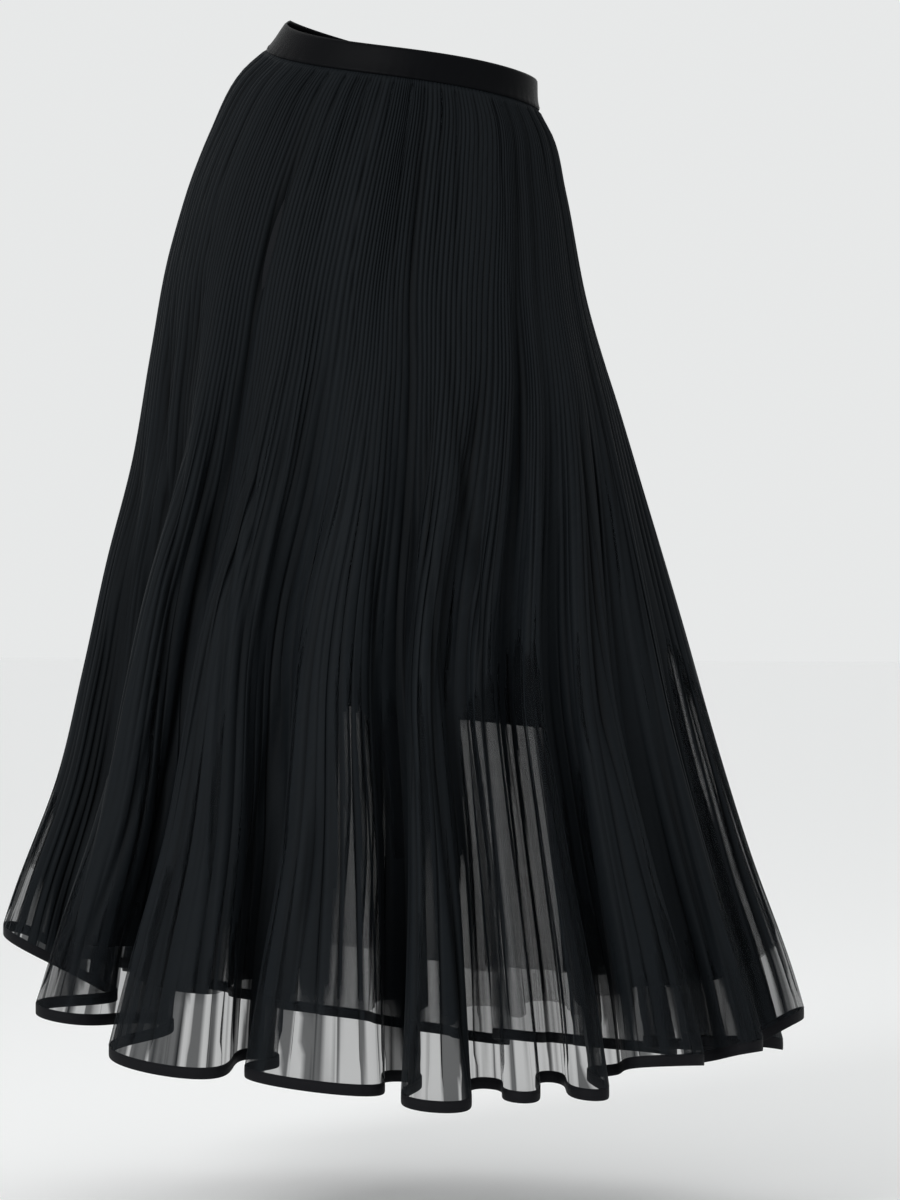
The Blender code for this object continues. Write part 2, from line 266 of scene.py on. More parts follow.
# How a main crease fades in and out, as shares of the way down, and the depth of one that holds a layer.
MAIN_CREASE_FADE = 0.10
MAIN_CREASE_END = 0.08
HOLDING_DEPTH = 0.004

# The main creases: the shares of the way down where each starts and ends, its angles at the
# waist there and between, and its depth and half width in metres.
Crease = namedtuple("Crease", "start end top middle bottom depth width")
CREASES = {
    "back": (
        Crease(0.00, 0.26, 76.8, 73.8, 72.4, 0.0035, 0.006),
        Crease(0.00, 0.26, 69.4, 71.2, 72.4, 0.0030, 0.006),
        Crease(0.08, 1.00, 73.0, 70.0, 66.0, 0.0050, 0.004),
        Crease(0.30, 0.95, 67.0, 66.0, 63.0, 0.0035, 0.004),
        Crease(0.00, 0.98, 113.4, 113.3, 112.5, 0.0035, 0.005),
        Crease(0.01, 0.55, 148.8, 147.3, 145.8, 0.0035, 0.005),
        Crease(0.00, 0.24, 155.4, 155.4, 155.4, 0.0025, 0.005),
        Crease(0.28, 0.72, 165.6, 165.0, 163.8, 0.0045, 0.006),
        Crease(0.20, 0.92, 175.2, 175.2, 174.5, 0.0040, 0.007),
        Crease(0.27, 0.64, 136.5, 133.5, 131.0, 0.0040, 0.006),
        Crease(0.28, 0.62, 120.6, 117.0, 115.8, 0.0035, 0.006),
        Crease(0.46, 0.74, 119.4, 122.0, 124.0, 0.0035, 0.006),
        Crease(0.26, 0.72, 142.8, 142.8, 142.0, 0.0030, 0.005),
        Crease(0.60, 1.00, 127.5, 129.5, 131.0, 0.0045, 0.007),
        Crease(0.60, 0.92, 99.5, 94.5, 90.6, 0.0040, 0.007),
        Crease(0.28, 0.62, 92.4, 92.6, 92.8, 0.0030, 0.005),
        Crease(0.26, 0.58, 95.5, 96.5, 97.5, 0.0030, 0.005),
        Crease(0.28, 0.68, 87.8, 88.6, 89.4, 0.0030, 0.005),
        Crease(0.55, 1.00, 83.0, 84.0, 85.0, 0.0035, 0.006),
        Crease(0.68, 1.00, 105.5, 105.0, 104.5, 0.0030, 0.006),
        Crease(0.23, 0.47, 44.6, 45.0, 45.2, 0.0040, 0.006),
        Crease(0.20, 0.42, 48.5, 48.8, 49.5, 0.0030, 0.006),
        Crease(0.35, 0.68, 52.0, 42.0, 39.0, 0.0050, 0.009),
        Crease(0.25, 0.48, 35.5, 34.5, 33.5, 0.0040, 0.008),
        Crease(0.40, 0.88, 20.4, 28.5, 34.0, 0.0050, 0.009),
        Crease(0.60, 1.00, 23.4, 27.0, 31.0, 0.0045, 0.008),
        Crease(0.58, 1.00, 57.5, 58.0, 59.0, 0.0040, 0.007),
    ),
    "front": (
        Crease(0.03, 0.90, 196.0, 197.0, 199.0, 0.0040, 0.008),
        Crease(0.30, 0.95, 209.0, 210.0, 211.0, 0.0045, 0.009),
        Crease(0.05, 0.85, 226.0, 226.0, 227.0, 0.0035, 0.006),
        Crease(0.35, 0.98, 236.0, 238.0, 239.0, 0.0045, 0.008),
        Crease(0.00, 0.28, 244.0, 246.0, 248.0, 0.0030, 0.006),
        Crease(0.20, 0.60, 248.0, 247.0, 246.0, 0.0040, 0.007),
        Crease(0.02, 0.70, 265.0, 266.0, 266.5, 0.0035, 0.005),
        Crease(0.40, 0.95, 277.0, 276.0, 275.0, 0.0045, 0.008),
        Crease(0.25, 0.90, 287.0, 288.0, 289.0, 0.0040, 0.007),
        Crease(0.05, 0.95, 301.0, 300.0, 299.0, 0.0050, 0.009),
        Crease(0.35, 0.90, 313.0, 314.0, 315.0, 0.0040, 0.007),
        Crease(0.20, 0.85, 326.0, 325.0, 324.0, 0.0040, 0.008),
        Crease(0.30, 0.95, 341.0, 340.0, 340.0, 0.0045, 0.008),
        Crease(0.35, 0.90, 352.0, 353.0, 353.0, 0.0040, 0.007),
    ),
}

# Over what share of the way down a thin place widens, and how soft its edge is, in degrees.
THIN_GROWTH = 0.12
THIN_EDGE = 2.4

# Places where the pleats are drawn open and the cloth is thin: the share of the way down where each
# starts, its angles at the waist there and at the hem, and half its width in degrees.
Thin = namedtuple("Thin", "start top bottom half_width")
THIN_PLACES = {
    "back": (
        Thin(0.78, 12.0, 10.0, 10.0),
        Thin(0.90, 60.0, 60.0, 3.0),
        Thin(0.88, 70.0, 70.0, 3.0),
        Thin(0.82, 90.0, 90.0, 1.5),
        Thin(0.56, 108.2, 107.4, 1.4),
        Thin(0.56, 126.0, 126.0, 1.2),
        Thin(0.54, 149.5, 142.0, 9.2),
        Thin(0.75, 157.0, 157.0, 1.0),
        Thin(0.56, 179.0, 178.5, 2.0),
    ),
    "front": (
        Thin(0.55, 185.0, 190.0, 7.0),
        Thin(0.55, 203.0, 204.0, 7.5),
        Thin(0.50, 222.0, 222.0, 2.5),
        Thin(0.40, 254.0, 256.5, 9.0),
        Thin(0.45, 270.5, 271.0, 2.0),
        Thin(0.45, 278.5, 279.0, 3.5),
        Thin(0.80, 285.0, 285.0, 4.0),
        Thin(0.60, 308.0, 308.0, 2.5),
        Thin(0.80, 330.0, 330.0, 3.0),
        Thin(0.82, 356.0, 354.0, 4.0),
    ),
}

# The hem tape's section with its stitched line: each row's drop below the cloth's edge, and half the
# thickness there. The tape's middle lies TAPE_DEPTH inside the skirt's outside.
TapeRow = namedtuple("TapeRow", "drop half")
TAPE_PROFILE = (
    TapeRow(-0.0004, 0.00020),
    TapeRow(0.0001, 0.00045),
    TapeRow(0.0009, 0.00055),
    TapeRow(0.0013, 0.00030),
    TapeRow(0.0017, 0.00055),
    TapeRow(0.0048, 0.00060),
    TapeRow(0.0082, 0.00055),
    TapeRow(0.0092, 0.00040),
    TapeRow(0.0095, 0.00015),
)
TAPE_DEPTH = 0.0012
TAPE_COLUMNS_IN_A_PLEAT = 5

# The lining: how far inside the skirt's outside its top lies, how deep it lies below its own sections,
# its thickness, and the step at the top of its turned-up hem, at HEM_LINE of its own way down. SIDE_GAP,
# in degrees, parts its two panels.
LINING_INSET = 0.0040
LINING_DEPTH = 0.0004
LINING_WALL = 0.0009
LINING_COLUMNS = 260
LINING_ROWS = np.concatenate([np.linspace(0.0, 0.955, 56), np.linspace(0.962, 1.0, 8)])
HEM_STEP = 0.0004
HEM_LINE = 0.958
HEM_LINE_LENGTH = 0.008
SIDE_GAP = 0.05

# The waistband: its wall, where its top edge lies and how far its height falls short of BAND_DROP, how
# far its face lies inside, swells between the edges and is rounded off at them, and its fine puckers
# above the lower edge, which are waves of uneven strength and place round it.
BAND_WALL = 0.0024
BAND_COLUMNS = 480
BAND_ROWS = 18
BAND_TOP_DROP = 0.0001
BAND_CLEARANCE = 0.0006
BAND_DEPTH = 0.0002
BAND_SWELL = 0.0003
EDGE_ROUNDING = 0.0009
ROUNDED_SHARE = 0.06
PUCKER_DEPTH = 0.00006
PUCKER_REACH = 0.25
PUCKER_WAVES = range(40, 90, 5)
PUCKER_STRENGTH = (0.3, 1.0)
PUCKER_TURN = (0, 6.3)

# The cloths by material slot. thread is a thread's width in metres, relief the strength of the weave's
# bump, gloss the specular level, and streaks how much the colour varies. A sheer one reads its cover,
# and the painted shade of its grooves, from its piece.
Cloth = namedtuple("Cloth", "name colour roughness sheen thread relief gloss streaks sheer")
SHEER_COLOUR = (0.0062, 0.0078, 0.0094)
SATIN_COLOUR = (0.0020, 0.0022, 0.0028)
TAPE_COLOUR = (0.0060, 0.0062, 0.0075)
LINING_COLOUR = (0.0085, 0.0093, 0.0108)
CLOTHS = {
    "sheer_mesh": Cloth("sheer_mesh_cloth", SHEER_COLOUR, 0.60, 0.008, 0.0009, 0.25, 0.045, 0.25, True),
    "inner_sheer": Cloth("inner_sheer_cloth", SHEER_COLOUR, 0.65, 0.005, 0.0009, 0.25, 0.050, 0.25, True),
    "satin": Cloth("satin_cloth", SATIN_COLOUR, 0.36, 0.0, 0.0005, 0.30, 0.035, 0.12, False),
    "hem_tape": Cloth("tape_cloth", TAPE_COLOUR, 0.60, 0.0, 0.0006, 0.50, 0.060, 0.25, False),
    "lining_cloth": Cloth("lining_weave", LINING_COLOUR, 0.70, 0.0, 0.0006, 0.10, 0.050, 0.25, False),
}

# What the cloths have in common: their sheen, the streaks' fineness across and along the cloth, the
# painted shade of a groove, how far the roughness varies, and the weave's unevenness and depth.
SHEEN_ROUGHNESS = 0.5
SHEEN_TINT = (0.80, 0.86, 0.95, 1.0)
STREAK_SCALE = (220.0, 9.0, 1.0)
STREAK_DETAIL = 3.0
GROOVE_PAINTED_SHADE = 0.25
ROUGHNESS_SWING = 0.06
WEAVE_DISTORTION = 0.3
WEAVE_DEPTH = 0.0002

# The room: a pale floor below the hem and an even wall behind.
FLOOR_LEVEL = -1.03
FLOOR_SIZE = 60.0
FLOOR_COLOUR = (0.975, 0.975, 0.975)
FLOOR_ROUGHNESS = 0.9
WALL_COLOUR = (0.80, 0.81, 0.81)

# The camera looks level from CAMERA_TURN degrees round the skirt, where 0 looks at its front. Its lens
# and sensor are in millimetres.
CAMERA_TURN = 195.0
CAMERA_DISTANCE = 3.4
CAMERA_ASIDE = 0.0347
CAMERA_LEVEL = -0.486
LENS = 114.66
SENSOR_WIDTH = 36.0

# The lights: how far each stands towards the camera, to the camera's right and up, its size, all in
# metres, its power in watts and its spread in degrees. Both face a point on the skirt's axis.
Light = namedtuple("Light", "name near right up size power spread")
LIGHTS = (
    Light("key", 2.6, -1.8, 0.9, 1.2, 9.2, 70.0),
    Light("fill", 2.6, 2.0, 0.6, 1.6, 0.8, 90.0),
)
LIT_LEVEL = -0.45


def at_drop(rows, drop):
    """A table's columns after its first one, on smooth curves through the rows, at the drops given."""
    grid = np.array(rows)
    drops, values = grid[:, 0], grid[:, 1:]
    slopes = np.gradient(values, drops, axis=0)
    row = np.clip(np.searchsorted(drops, drop, side="right") - 1, 0, len(drops) - 2)
    length = (drops[row + 1] - drops[row])[..., None]
    f = (drop[..., None] - drops[row][..., None]) / length
    start, end = values[row], values[row + 1]
    curve = start * (1 + 2 * f) * (1 - f) ** 2 + end * (3 - 2 * f) * f**2
    bend = slopes[row] * f * (1 - f) ** 2 - slopes[row + 1] * (1 - f) * f**2
    return np.moveaxis(curve + bend * length, -1, 0)


def eased(x):
    """A smooth step from 0 at 0 to 1 at 1."""
    x = np.clip(x, 0.0, 1.0)
    return x * x * (3 - 2 * x)


def calmed(down, calm):
    """A factor of 1 above a place on the way down, eased to less below it."""
    return 1 - calm.share * eased((down - calm.start) / calm.length)


def own_draws(name):
    """A piece's own random numbers, the same each run."""
    return np.random.default_rng(FIRST_SEED + SEEDED.index(name))


def edge_angles(column, first):
    """The angles of the folds' borders round the skirt, in degrees, from the spans in one column."""
    return first + np.concatenate([[0.0], np.cumsum([getattr(fold, column) for fold in FOLDS])])


def fold_place(waist_angle):
    """Where an angle at the waist lies among the folds, as the fold's number and the share of its width."""
    borders = edge_angles("top", FIRST_TOP_ANGLE)
    turned = (waist_angle - borders[0]) % 360.0 + borders[0]
    return np.interp(turned, borders, np.arange(len(borders)))


def fold_values(place):
    """The table of folds read at places among them, with each point's phase, 0 on the crest."""
    number = np.floor(place).astype(int)
    phase = (place - number - 0.5) * 2 * np.pi
    rows = np.array(FOLDS)
    here, after = rows[number % len(FOLDS)], rows[(number + 1) % len(FOLDS)]
    fold = Fold(*np.moveaxis(here, -1, 0))
    valley = np.where(phase < 0, fold.valley, after[..., Fold._fields.index("valley")])
    return fold, valley, phase


def on_ellipse(section, angle):
    """A level section's point, outward normal and speed of travel at an angle."""
    x, y = np.cos(angle), np.sin(angle)
    depth = np.where(y > 0, section.back, section.front)
    point = np.stack([section.shift + section.width * x, depth * y], axis=-1)
    normal = np.stack([x / section.width, y / depth], axis=-1)
    normal /= np.linalg.norm(normal, axis=-1, keepdims=True)
    speed = np.hypot(section.width * y, depth * x)
    return point, normal, speed


def waist_lift(drop, x, angle):
    """How far the worn waist rises above its level section, x metres to the wearer's left."""
    wave = np.where(np.sin(angle) > 0, BACK_WAVE * np.sin(2 * angle), -FRONT_DIP * np.sin(angle))
    return (1 - eased((drop - LIFT_DROP) / LIFT_FADE)) * (WAIST_RISE + LEFT_SLOPE * x - wave)


def skirt_points(waist_angle, down):
    """Points of the skirt's outside, at angles at the waist in degrees and shares of the way down."""
    waist_angle, down = np.broadcast_arrays(waist_angle, down)
    fold, valley, phase = fold_values(fold_place(waist_angle))
    first = edge_angles("hem", FIRST_HEM_ANGLE)
    turns = np.floor((waist_angle - FIRST_TOP_ANGLE) / 360.0) * 360.0
    hem_angle = np.interp(fold_place(waist_angle), np.arange(len(first)), first) + turns

    rise = SIDE_RISE * np.cos(np.radians(hem_angle)) ** 2
    drop = BAND_DROP + down * (OUTER_HEM_DROP - rise - BAND_DROP)
    fan = eased((drop - FAN_START_DROP) / FAN_LENGTH)
    angle = np.radians(waist_angle + fan * (hem_angle - waist_angle))
    span = OUTER_HEM_DROP - SIDE_RISE / 2 - FOLD_START_DROP
    grown = np.clip((drop - FOLD_START_DROP) / span, 0.0, None) ** FOLD_GROWTH

    section = Section(drop, *at_drop(SKIRT, drop))
    point, normal, speed = on_ellipse(section, angle)
    along = np.stack([-normal[..., 1], normal[..., 0]], axis=-1)
    near_crest = (1 + np.cos(phase)) / 2
    out = grown * (fold.crest * near_crest - valley * (1 - near_crest))
    widening = fold.head * np.sin(phase) + fold.pinch * np.sin(2 * phase)
    side = grown * (np.radians(fold.hem) / (2 * np.pi) * speed * widening + fold.lean * near_crest)
    point = point + normal * out[..., None] + along * side[..., None]
    z = -drop + section.roll * point[..., 0] - section.pitch * point[..., 1]
    z = z + grown * (fold.rise * near_crest + VALLEY_RISE * (1 - near_crest))
    z = z + waist_lift(drop, point[..., 0], angle)
    return np.concatenate([point, z[..., None]], axis=-1)


def skirt_frame(waist_angle, down):
    """The skirt's points with the level outward direction and the direction round it at each."""
    aside = 0.02
    points = skirt_points(waist_angle, down)
    ahead = skirt_points(waist_angle + aside, down)
    behind = skirt_points(waist_angle - aside, down)
    along = ahead - behind
    along[..., 2] = 0.0
    along /= np.linalg.norm(along, axis=-1, keepdims=True)
    out = np.stack([along[..., 1], -along[..., 0], np.zeros(along.shape[:-1])], axis=-1)
    return points, out, along


def runs(points):
    """How far along its row each point of a grid lies."""
    steps = np.linalg.norm(np.diff(points, axis=1), axis=2)
    return np.concatenate([np.zeros((len(points), 1)), np.cumsum(steps, axis=1)], axis=1)


def pleat_angles(panel):
    """The angles of a panel's grooves at the waist, spread between even there and even along the hem."""
    angles = PANEL_START[panel] + np.linspace(0.0, 180.0, STEPS_IN_A_PLEAT * PLEATS + 1)
    run = runs(skirt_points(angles, np.ones(1))[None])[0]
    share = EVEN_AT_HEM * run / run[-1] + (1 - EVEN_AT_HEM) * np.linspace(0.0, 1.0, len(angles))
    return np.interp(np.linspace(0.0, 1.0, PLEATS + 1), share, angles)


def wandering(down, rng, count, waves):
    """Smooth random curves down the cloth, one for each of count lines, from about -1 to 1."""
    slowest, fastest = 0.6, 1.4
    total = np.zeros((len(down), count))
    for wave in range(1, waves + 1):
        turn = rng.uniform(0.0, 2 * np.pi, count)
        rate = rng.uniform(slowest, fastest, count) * wave
        total += np.cos(2 * np.pi * rate * down[:, None] + turn) / wave
    return total / sum(1 / wave for wave in range(1, waves + 1))


def patches(angles, down, rng, count, waves):
    """Smooth random values over a panel, from about -1 to 1, from curves at count places across it."""
    places = np.linspace(angles[0], angles[-1], count)
    return np.stack([np.interp(angles, places, row) for row in wandering(down, rng, count, waves)])


def off_line(run, angles, line_angles):
    """How far along its row each point of a grid lies from a line that runs down the cloth."""
    centre = [np.interp(angle, angles, row) for angle, row in zip(line_angles, run)]
    return run - np.array(centre)[:, None]


def main_creases(panel, run, angles, down):
    """How far a panel's main creases sink the cloth, and how many layers they hold, from their table."""
    sink, held = np.zeros(run.shape), np.zeros(run.shape)
    for crease in CREASES[panel]:
        levels = (crease.start, (crease.start + crease.end) / 2, crease.end)
        line = np.interp(down, levels, (crease.top, crease.middle, crease.bottom))
        off = off_line(run, angles, line) / crease.width
        begun = eased((down - crease.start) / MAIN_CREASE_FADE)
        ended = eased((down - crease.end + MAIN_CREASE_END) / MAIN_CREASE_FADE)
        shape = np.exp(-(off**2)) * (begun * (1 - ended))[:, None]
        sink += crease.depth * shape
        held += crease.depth / HOLDING_DEPTH * shape
    return sink, held


def furrows(run, down, rng, spread):
    """How far soft furrows sink the cloth, where spread is their mean spacing over the cloth's width."""
    sink = np.zeros(run.shape)
    whole = run[:, -1:]
    place = 0.0
    while place < 1.0:
        place += rng.uniform(*FURROW_SPACING) * spread
        start = rng.uniform(*FURROW_START)
        depth = rng.uniform(*FURROW_DEPTH)
        width = rng.uniform(*FURROW_WIDTH)
        sway = rng.uniform(*FURROW_SWAY) * np.sin(rng.uniform(*FURROW_SWAY_RATE) * down)
        grow = eased((down - start) / FURROW_GROWTH) * calmed(down, FURROW_CALM)
        sink += depth * grow[:, None] * np.exp(-(((run - whole * (place + sway[:, None])) / width) ** 2))
    return sink


def gathers(run, down, rng):
    """How far the gathers that fan out from the waist seam sink the cloth."""
    sink = np.zeros(run.shape)
    whole = run[:, -1:]
    place = 0.0
    while place < 1.0:
        place += rng.uniform(*GATHER_SPACING)
        depth = rng.uniform(*GATHER_DEPTH)
        width = rng.uniform(*GATHER_WIDTH)
        fade = eased(down / GATHER_START) * np.exp(-down / rng.uniform(*GATHER_REACH))
        sink += depth * fade[:, None] * np.exp(-(((run - whole * place) / width) ** 2))
    return sink


def under_the_band(down):
    """How far the cloth turns in under the waistband's edge."""
    return TURN_IN_DEPTH * np.exp(-((down / TURN_IN_REACH) ** 2))[:, None]


def openness(panel, angles, down):
    """How far the pleats are drawn open at each point, from the panel's table of thin places."""
    share = np.zeros((len(down), len(angles)))
    for thin in THIN_PLACES[panel]:
        line = np.interp(down, (thin.start, 1.0), (thin.top, thin.bottom))
        half = (thin.half_width * eased((down - thin.start) / THIN_GROWTH))[:, None]
        off = np.abs(angles[None, :] - line[:, None])
        share = np.maximum(share, eased((half + THIN_EDGE / 2 - off) / THIN_EDGE) * (half > 0))
    return share


def covered(layers):
    """The share of light that the layers stop."""
    fading = eased((layers - FADING_LAYERS) / (OPAQUE_LAYERS - FADING_LAYERS))
    return 1 - OPEN_SHARE**layers * (1 - fading)


def make_mesh(name, points, faces, uv=None):
    """A smooth mesh from points and quads, with its uv in metres of cloth."""
    mesh = bpy.data.meshes.new(name)
    faces = np.asarray(faces)
    mesh.vertices.add(len(points))
    mesh.vertices.foreach_set("co", np.asarray(points, dtype=np.float32).ravel())
    mesh.loops.add(faces.size)
    mesh.loops.foreach_set("vertex_index", faces.ravel().astype(np.int32))
    mesh.polygons.add(len(faces))
    mesh.polygons.foreach_set("loop_start", (np.arange(len(faces)) * faces.shape[1]).astype(np.int32))
    mesh.update(calc_edges=True)
    mesh.shade_smooth()
    if uv is not None:
        layer = mesh.uv_layers.new(name="cloth")
        layer.data.foreach_set("uv", np.asarray(uv, dtype=np.float32)[faces.ravel()].ravel())
    made = bpy.data.objects.new(name, mesh)
    bpy.context.scene.collection.objects.link(made)
    return made


def set_values(piece, name, values):
    """Stores a number for each point of a piece, for its material to read."""
    layer = piece.data.attributes.new(name, "FLOAT", "POINT")
    layer.data.foreach_set("value", np.asarray(values, dtype=np.float32).ravel())


def strip_quads(upper, lower, closed=False):
    """Quads between runs of point numbers, facing out where lower lies below upper."""
    if closed:
        upper = np.append(upper, upper[..., :1], axis=-1)
        lower = np.append(lower, lower[..., :1], axis=-1)
    corners = [upper[..., :-1], lower[..., :-1], lower[..., 1:], upper[..., 1:]]
    return np.stack(corners, axis=-1).reshape(-1, 4)


def sheet_object(name, points, level):
    """One open sheet from a grid of points, with its uv from the runs and the way down."""
    number = np.arange(points.shape[0] * points.shape[1]).reshape(points.shape[:2])
    uv = np.stack([runs(points), np.broadcast_to(-level[:, None], number.shape)], axis=-1)
    return make_mesh(name, points.reshape(-1, 3), strip_quads(number[:-1], number[1:]), uv.reshape(-1, 2))


def shell_object(name, outside, inside, level, closed=False):
    """A closed shell between two grids of points with the same rows and columns."""
    count = outside.shape[0] * outside.shape[1]
    face_out = np.arange(count).reshape(outside.shape[:2])
    face_in = face_out + count
    quads = [
        strip_quads(face_out[:-1], face_out[1:], closed),
        strip_quads(face_in[1:], face_in[:-1], closed),
        strip_quads(face_in[0], face_out[0], closed),
        strip_quads(face_out[-1], face_in[-1], closed),
    ]
    if not closed:
        quads.append(strip_quads(face_in[:, 0], face_out[:, 0])[:, ::-1])
        quads.append(strip_quads(face_out[:, -1], face_in[:, -1])[:, ::-1])
    run = runs(outside)
    uv_out = np.stack([run, np.broadcast_to(-level[:, None], run.shape)], axis=-1).reshape(-1, 2)
    uv_in = uv_out + [[0.0, INSIDE_UV_SHIFT]]
    points = np.concatenate([outside.reshape(-1, 3), inside.reshape(-1, 3)])
    return make_mesh(name, points, np.concatenate(quads), np.concatenate([uv_out, uv_in]))


def outer_columns(panel):
    """The outer sheet's columns: their angles at the waist and their places counted in pleats."""
    grooves = pleat_angles(panel)
    share = np.array(PLEAT_SHARES)
    angles = np.append((grooves[:-1, None] + share * np.diff(grooves)[:, None]).ravel(), grooves[-1])
    pleat = np.append((np.arange(PLEATS)[:, None] + share).ravel(), PLEATS)
    return angles, pleat


def groove_creases(run, pleat, down, loose, rng):
    """How far the crease at each groove sinks the cloth, and how far it leans aside."""
    lines = PLEATS + 1
    nearest = np.round(pleat).astype(int)
    off = run - run[:, nearest * len(PLEAT_SHARES)]
    depth = np.clip(CREASE_DEPTH + CREASE_UNEVEN * wandering(down, rng, lines, waves=3), LEAST_CREASE, None)
    lean = CREASE_LEAN * wandering(down, rng, lines, waves=2)
    width = CREASE_WIDTH * rng.uniform(*CREASE_WIDTH_RANGE, lines)
    calm = calmed(down, CREASE_CALM)[:, None]
    sink = depth[:, nearest] * np.exp(-((off / width[nearest]) ** 2)) * calm * loose
    return sink, lean[:, nearest] * sink


def even_ribs(pleat, angles, down, loose, rng):
    """How far the fine even ribs below the band sink the cloth, deepest at each groove."""
    at_seam = RIB_AT_SEAM + (1 - RIB_AT_SEAM) * eased(down / RIB_SEAM_REACH)
    uneven = RIB_MEAN + RIB_UNEVEN * patches(angles, down, rng, count=24, waves=4)
    strength = uneven * (1 - loose) * at_seam[:, None]
    return RIB_RELIEF * (1 - np.abs(np.sin(np.pi * pleat))) ** RIB_SHARPNESS * strength


def pleat_layers(run, pleat, angles, down, loose, more, open_share, rng):
    """The layers that lie in each pleat, where more of them are added and others are drawn open."""
    in_pleat = np.minimum(np.floor(pleat).astype(int), PLEATS - 1)
    pitch = np.diff(run[:, ::len(PLEAT_SHARES)], axis=1)
    layers = np.clip(CLOTH_IN_A_PLEAT / pitch, 1.0, MOST_LAYERS)
    uneven = LAYERS_UNEVEN * wandering(down, rng, PLEATS, waves=4)
    layers = 1 + (layers - 1)[:, in_pleat] * (1 + uneven[:, in_pleat] * loose)
    layers += more + LAYERS_PATCHY * patches(angles, down, rng, count=30, waves=2) * loose
    drawn_open = rng.uniform(*DRAWN_OPEN, PLEATS)[in_pleat]
    return 1 + (layers - 1) * (1 - drawn_open * open_share)


def folded_layers(layers, pleat, down, rng):
    """The layers at each point. The folded part of a pleat is three deep, the rest of it single."""
    in_pleat = np.minimum(np.floor(pleat).astype(int), PLEATS - 1)
    place = pleat - in_pleat
    turned = (rng.uniform(size=PLEATS) < TURNED_SHARE)[in_pleat]
    place = np.where(turned, 1 - place, place)
    folded_share = np.clip(layers - 1, 0.0, None) / 2
    folded = eased((folded_share - place) / FOLD_EDGE + 0.5)
    added = 2 * folded + np.clip(layers - 3, 0.0, MOST_LAYERS - 3)
    return 1 + added * calmed(down, LAYER_CALM)[:, None]


def outer_sheet(panel):
    """An outer panel: fine even ribs under the band, loosening down the skirt into single creases."""
    rng = own_draws(f"outer_{panel}")
    angles, pleat = outer_columns(panel)
    down = np.append(SEAM_ROWS, np.linspace(0.0, 1.0, OUTER_ROWS)[1:] ** ROW_CROWDING)
    points, out, along = skirt_frame(angles[None, :], down[:, None])
    run = runs(points)

    uneven = LOOSENING_UNEVEN * patches(angles, down, rng, count=16, waves=2)
    loose = eased(((down - LOOSENING_START)[:, None] + uneven) / LOOSENING_LENGTH)
    crease, lean = groove_creases(run, pleat, down, loose, rng)
    rib = even_ribs(pleat, angles, down, loose, rng)
    gather = gathers(run, down, rng)
    main, held = main_creases(panel, run, angles, down)
    furrow = furrows(run, down, rng, OUTER_FURROW_SPREAD)
    open_share = openness(panel, angles, down)
    from_seam = np.minimum(run, run[:, -1:] - run)
    seam = np.exp(-((from_seam / SEAM_WIDTH) ** 2)) * calmed(down, CREASE_CALM)[:, None]
    sink = OUTER_DEPTH + rib + crease + gather + main + SEAM_DEPTH * seam + under_the_band(down)
    sink += furrow * (1 - FURROW_OPENED * open_share)
    points = points - out * sink[..., None] + along * lean[..., None]
    points[0, :, 2] += TUCKED_IN

    more = CREASE_LAYERS * held + FURROW_LAYERS * furrow
    layers = pleat_layers(run, pleat, angles, down, loose, more, open_share, rng)
    layers = folded_layers(layers + SEAM_LAYERS * seam, pleat, down, rng)
    crinkle = np.clip(wandering(down, rng, len(angles), waves=4) - LEAST_CRINKLE, 0.0, None)
    layers += CRINKLE_LAYERS * crinkle
    # Painted shade: the colour is darkened in the ribs' grooves, the creases, the cloth held in the main
    # creases, the gathers, furrows, side seams and crinkle lines, where shade falls.
    shade = RIB_SHADE * rib + CREASE_SHADE * crease + HELD_SHADE * held + GATHER_SHADE * gather
    shade += FURROW_SHADE * furrow + SEAM_SHADE * SEAM_DEPTH * seam + CRINKLE_SHADE * crinkle * loose

    piece = sheet_object(f"outer_{panel}_cloth", points, down * OUTER_HEM_DROP)
    set_values(piece, "cover", covered(layers))
    # The groove attribute carries this painted shade to the material's colour.
    set_values(piece, "groove", np.clip(shade, 0.0, 1.0))
    return piece


def inner_sheet(panel):
    """An inner panel, which hangs close inside the outer one's folds and ends higher, with a raw edge."""
    rng = own_draws(f"inner_{panel}")
    angles = PANEL_START[panel] + np.linspace(0.0, 180.0, INNER_COLUMNS)
    lowest = (INNER_HEM_DROP - BAND_DROP) / (OUTER_HEM_DROP - BAND_DROP)
    down = np.linspace(0.0, lowest, INNER_ROWS)
    points, out, _ = skirt_frame(angles[None, :], down[:, None])
    run = runs(points)
    main, held = main_creases(panel, run, angles, down)
    furrow = furrows(run, down, rng, INNER_FURROW_SPREAD)
    sink = INNER_DEPTH + DEPTH_GAIN * eased(down / DEPTH_GAIN_END)[:, None]
    sink = sink + INNER_IN_CREASES * main + INNER_FURROWS * furrow + under_the_band(down)
    points = points - out * sink[..., None]
    points[0, :, 2] += TUCKED_IN

    uneven = INNER_UNEVEN * patches(angles, down, rng, count=150, waves=3)
    more = INNER_LAYERS + uneven + INNER_FURROW_LAYERS * furrow + held
    layers = 1 + more * (1 - INNER_OPENED * openness(panel, angles, down))
    piece = sheet_object(f"inner_{panel}_cloth", points, down * OUTER_HEM_DROP)
    set_values(piece, "cover", covered(np.clip(layers, 1.0, MOST_LAYERS)))
    # Painted shade: the groove attribute darkens the inner sheet's colour in its furrows.
    set_values(piece, "groove", np.clip(furrow / FURROW_DEPTH[1], 0.0, 1.0))
    return piece


